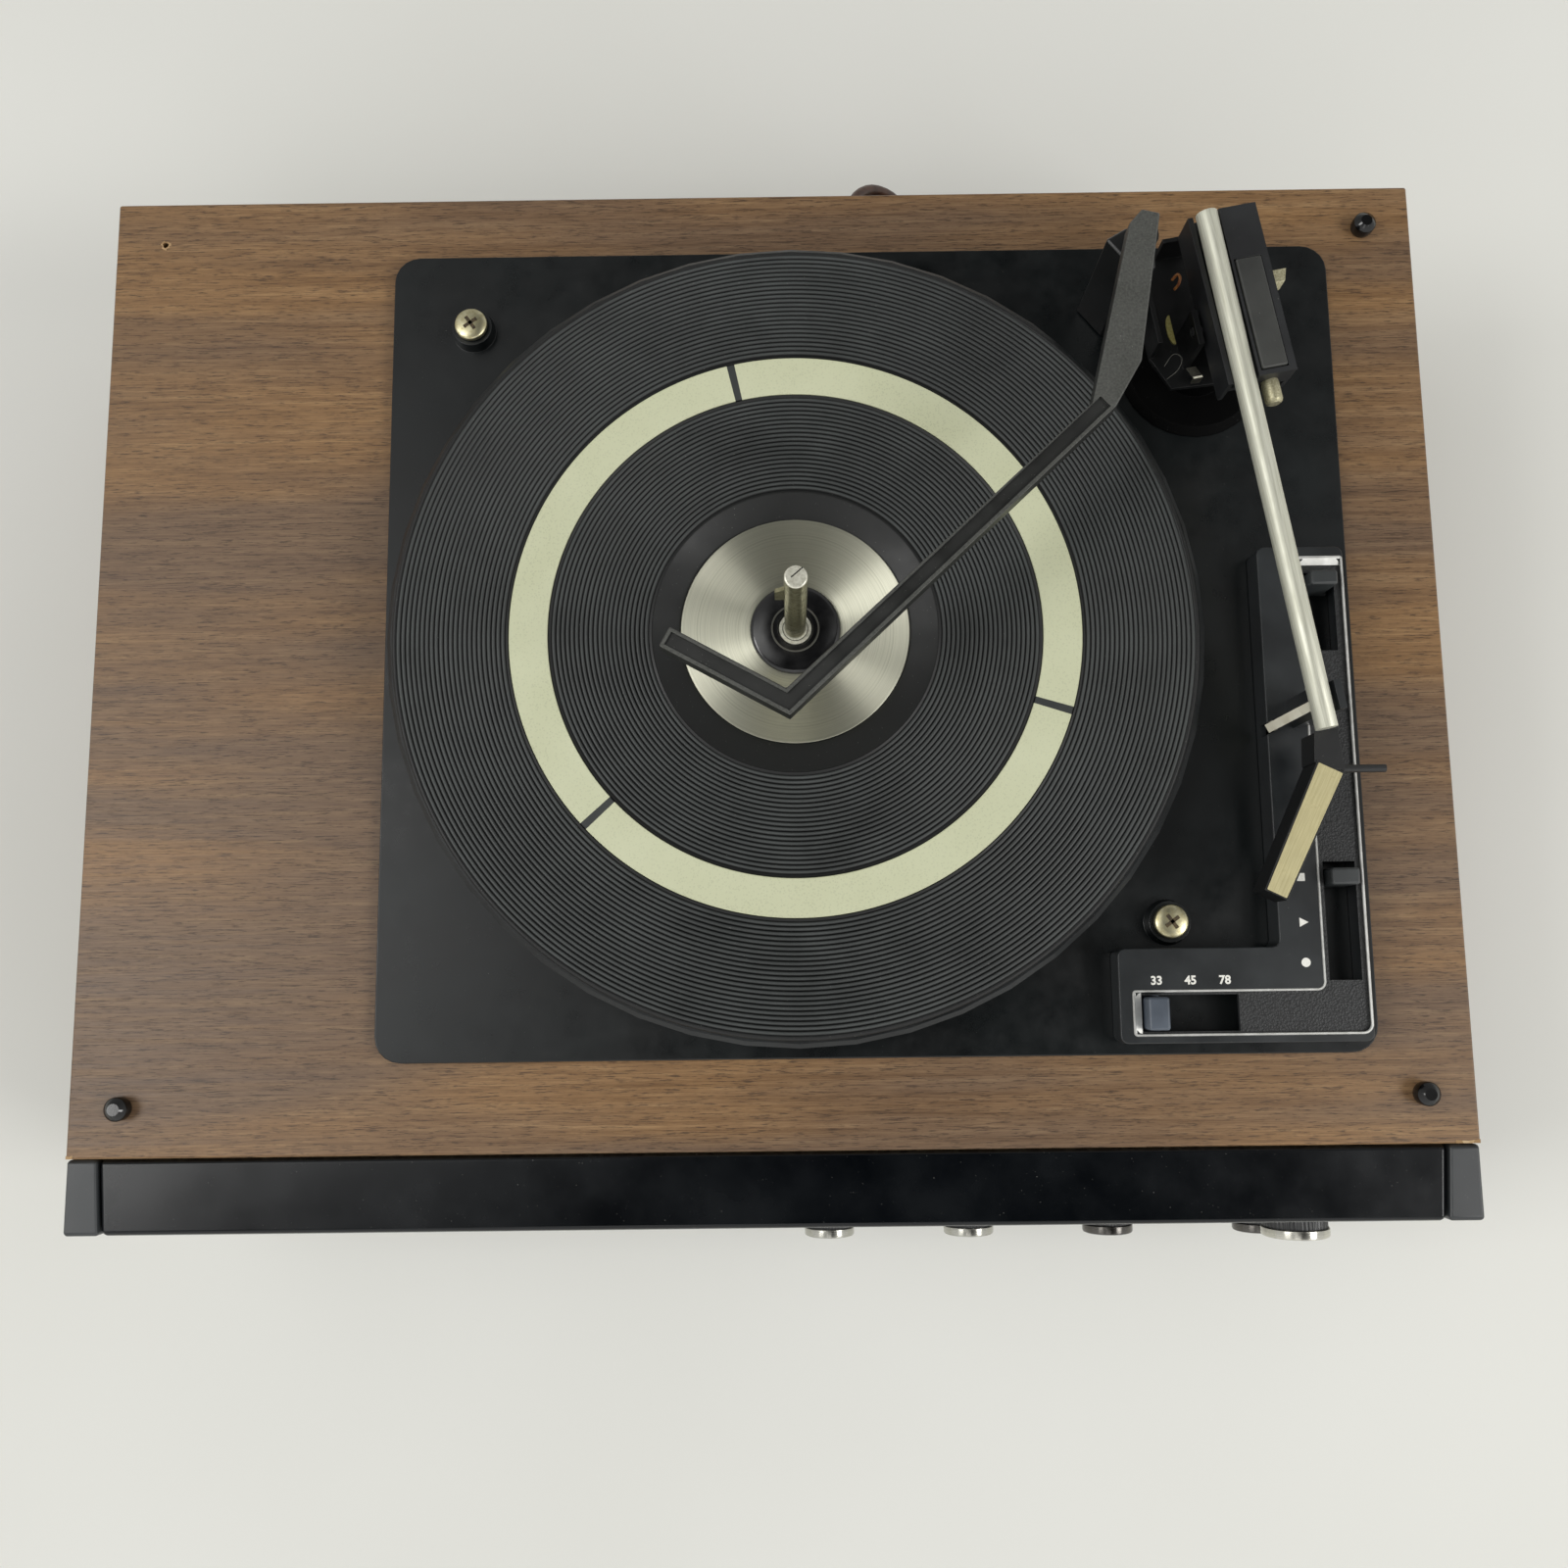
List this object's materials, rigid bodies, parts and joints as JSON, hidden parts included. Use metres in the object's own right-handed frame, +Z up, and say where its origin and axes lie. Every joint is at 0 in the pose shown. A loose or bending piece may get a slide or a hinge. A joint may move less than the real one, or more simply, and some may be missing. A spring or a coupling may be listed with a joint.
{
  "type": "music center",
  "caption": "Tabletop stereo with an automatic record changer on a black deck, set in a walnut-look cabinet with a black control fascia along its front edge.",
  "frame": {"origin": "middle of the outline without the mains lead, on the plane that the four feet rest on", "axes": "+X to the right along the longest side, +Y to the back panel, +Z up; the knobs point to -Y"},
  "size_m": [0.4837, 0.4421, 0.2142],
  "materials": {
    "walnut_vinyl": "walnut-print vinyl on particle board, satin",
    "black_styrene": "moulded, satin",
    "black_enamel": "baked enamel on pressed steel",
    "black_rubber": "moulded",
    "cream_ink": "cream, satin",
    "brushed_aluminium": "brushed",
    "nickel_plate": "bright plate",
    "zinc_steel": "zinc-plated sheet",
    "white_nylon": "moulded",
    "grey_blue_styrene": "moulded, satin",
    "hardboard": "pressed fibre board",
    "clear_acrylic": "clear, tinted",
    "phenolic_board": "phenolic paper board",
    "brown_vinyl_lead": "vinyl jacket"
  },
  "bodies": {
    "base": {"cabinet_shell": "walnut_vinyl", "bottom_board": "hardboard", "back_panel": "hardboard", "cover_bumper_front_left": "black_rubber", "cover_bumper_front_right": "black_rubber", "cover_bumper_rear_right": "black_rubber", "fascia_frame": "black_styrene", "end_cap_left": "black_styrene", "end_cap_right": "black_styrene", "control_panel": "brushed_aluminium", "dial_window": "clear_acrylic", "dial_scale": "cream_ink", "chassis_tray": "zinc_steel", "main_board": "phenolic_board", "power_transformer": "zinc_steel", "tuning_capacitor": "zinc_steel", "suspension_spring_rear_left": "zinc_steel", "suspension_spring_front_right": "zinc_steel", "suspension_spring_front_left": "zinc_steel", "suspension_spring_rear_right": "zinc_steel", "unit_plate": "black_enamel", "console": "black_styrene", "motor": "zinc_steel", "spindle": "nickel_plate", "overarm_pedestal": "black_styrene", "arm_base": "black_styrene", "strain_relief": "brown_vinyl_lead", "mains_lead": "brown_vinyl_lead", "mains_hank": "brown_vinyl_lead", "mains_plug": "brown_vinyl_lead"},
    "turntable": {"platter": "zinc_steel", "platter_mat": "black_rubber", "mat_ring": "cream_ink", "label_disc": "brushed_aluminium", "hub_cap": "black_styrene"},
    "pulley": {"motor_pulley": "brushed_aluminium"},
    "idler_carriage": {"idler_bracket": "zinc_steel"},
    "idler": {"idler_wheel": "black_rubber"},
    "cam_gear": {"cycle_gear": "white_nylon"},
    "pusher": {"spindle_pusher": "nickel_plate"},
    "lift_post": {"overarm_post": "zinc_steel"},
    "balance_arm": {"overarm": "black_styrene"},
    "turret": {"arm_turret": "black_styrene"},
    "tonearm": {"tonearm_tube": "brushed_aluminium", "arm_block": "black_styrene", "counterweight": "grey_blue_styrene", "headshell": "black_styrene", "cartridge": "grey_blue_styrene"},
    "needle": {"stylus": "nickel_plate"},
    "latch": {"rest_latch": "white_nylon"},
    "speed": {"speed_lever": "grey_blue_styrene"},
    "start": {"start_lever": "black_styrene"},
    "cue": {"cue_lever": "black_styrene"},
    "function": {"function_knob": "brushed_aluminium"},
    "balance": {"balance_knob": "brushed_aluminium"},
    "tone": {"tone_knob": "brushed_aluminium"},
    "volume": {"volume_knob": "brushed_aluminium"},
    "tuning": {"tuning_knob": "brushed_aluminium"},
    "pointer": {"dial_pointer": "white_nylon"},
    "drum": {"dial_drum": "white_nylon"}
  },
  "joints": [
    {"name": "platter_spin", "type": "hinge", "parent": "base", "child": "turntable", "pos_m": [0.01, 0.0219, 0.14], "axis": [0, 0, 1], "continuous": true},
    {"name": "pulley_spin", "type": "hinge", "parent": "base", "child": "pulley", "pos_m": [-0.05991, 0.11314, 0.125], "axis": [0, 0, 1], "continuous": true},
    {"name": "idler_shift", "type": "slide", "parent": "base", "child": "idler_carriage", "axis": [-0.2995, -0.3569, 0.8848], "range_m": [0, 0.00769]},
    {"name": "idler_spin", "type": "hinge", "parent": "idler_carriage", "child": "idler", "pos_m": [-0.07595, 0.09402, 0.1379], "axis": [0, 0, 1], "continuous": true},
    {"name": "cycle_gear_turn", "type": "hinge", "parent": "base", "child": "cam_gear", "pos_m": [0.062, -0.0081, 0.124], "axis": [0, 0, 1], "continuous": true},
    {"name": "pusher_slide", "type": "slide", "parent": "base", "child": "pusher", "axis": [1, 0, 0], "range_m": [0, 0.002], "stiffness_N_per_m": 20},
    {"name": "overarm_lift", "type": "slide", "parent": "base", "child": "lift_post", "axis": [0, 0, 1], "range_m": [0, 0.025]},
    {"name": "overarm_swing", "type": "hinge", "parent": "lift_post", "child": "balance_arm", "pos_m": [0.122, 0.1395, 0.186], "axis": [0, 0, 1], "range_deg": [0, 60]},
    {"name": "tonearm_swing", "type": "hinge", "parent": "base", "child": "turret", "pos_m": [0.152, 0.1205, 0.145], "axis": [0, 0, -1], "range_deg": [0, 42]},
    {"name": "tonearm_lift", "type": "hinge", "parent": "turret", "child": "tonearm", "pos_m": [0.152, 0.1205, 0.163], "axis": [-0.9845, -0.1753, 0], "range_deg": [0, 3.5]},
    {"name": "stylus_flip", "type": "hinge", "parent": "tonearm", "child": "needle", "pos_m": [0.1785, -0.0284, 0.1563], "axis": [-0.4399, -0.898, 0], "range_deg": [0, 180]},
    {"name": "latch_fold", "type": "hinge", "parent": "base", "child": "latch", "pos_m": [0.17, -0.0106, 0.1416], "axis": [0.4478, -0.8942, 0], "range_deg": [0, 95]},
    {"name": "speed_slide", "type": "slide", "parent": "base", "child": "speed", "axis": [1, 0, 0], "range_m": [0, 0.0226]},
    {"name": "start_slide", "type": "slide", "parent": "base", "child": "start", "axis": [0, -1, 0], "range_m": [0, 0.029]},
    {"name": "cue_slide", "type": "slide", "parent": "base", "child": "cue", "axis": [0, -1, 0], "range_m": [0, 0.02]},
    {"name": "function_turn", "type": "hinge", "parent": "base", "child": "function", "pos_m": [0.0207, -0.18, 0.046], "axis": [0, 1, 0], "range_deg": [0, 120]},
    {"name": "balance_turn", "type": "hinge", "parent": "base", "child": "balance", "pos_m": [0.0742, -0.18, 0.046], "axis": [0, 1, 0], "range_deg": [-140, 140]},
    {"name": "tone_turn", "type": "hinge", "parent": "base", "child": "tone", "pos_m": [0.1277, -0.18, 0.046], "axis": [0, 1, 0], "range_deg": [-140, 140]},
    {"name": "volume_turn", "type": "hinge", "parent": "base", "child": "volume", "pos_m": [0.1855, -0.18, 0.046], "axis": [0, 1, 0], "range_deg": [-20, 260]},
    {"name": "tuning_turn", "type": "hinge", "parent": "base", "child": "tuning", "pos_m": [0.1855, -0.18, 0.088], "axis": [0, 1, 0], "range_deg": [-900, 900]},
    {"name": "pointer_slide", "type": "slide", "parent": "base", "child": "pointer", "axis": [1, 0, 0], "range_m": [-0.075, 0.075]},
    {"name": "drum_turn", "type": "hinge", "parent": "base", "child": "drum", "pos_m": [0.115, -0.155, 0.084], "axis": [0, 1, 0], "range_deg": [-91, 91]}
  ],
  "couplings": [
    {"joint": "pulley_spin", "follows": "platter_spin", "ratio": -50.564},
    {"joint": "idler_spin", "follows": "platter_spin", "ratio": 6.1136},
    {"joint": "idler_shift", "follows": "speed_slide", "ratio": 0.34},
    {"joint": "pointer_slide", "follows": "tuning_turn", "m_per_rad": 0.00477},
    {"joint": "drum_turn", "follows": "tuning_turn", "ratio": 0.1}
  ]
}
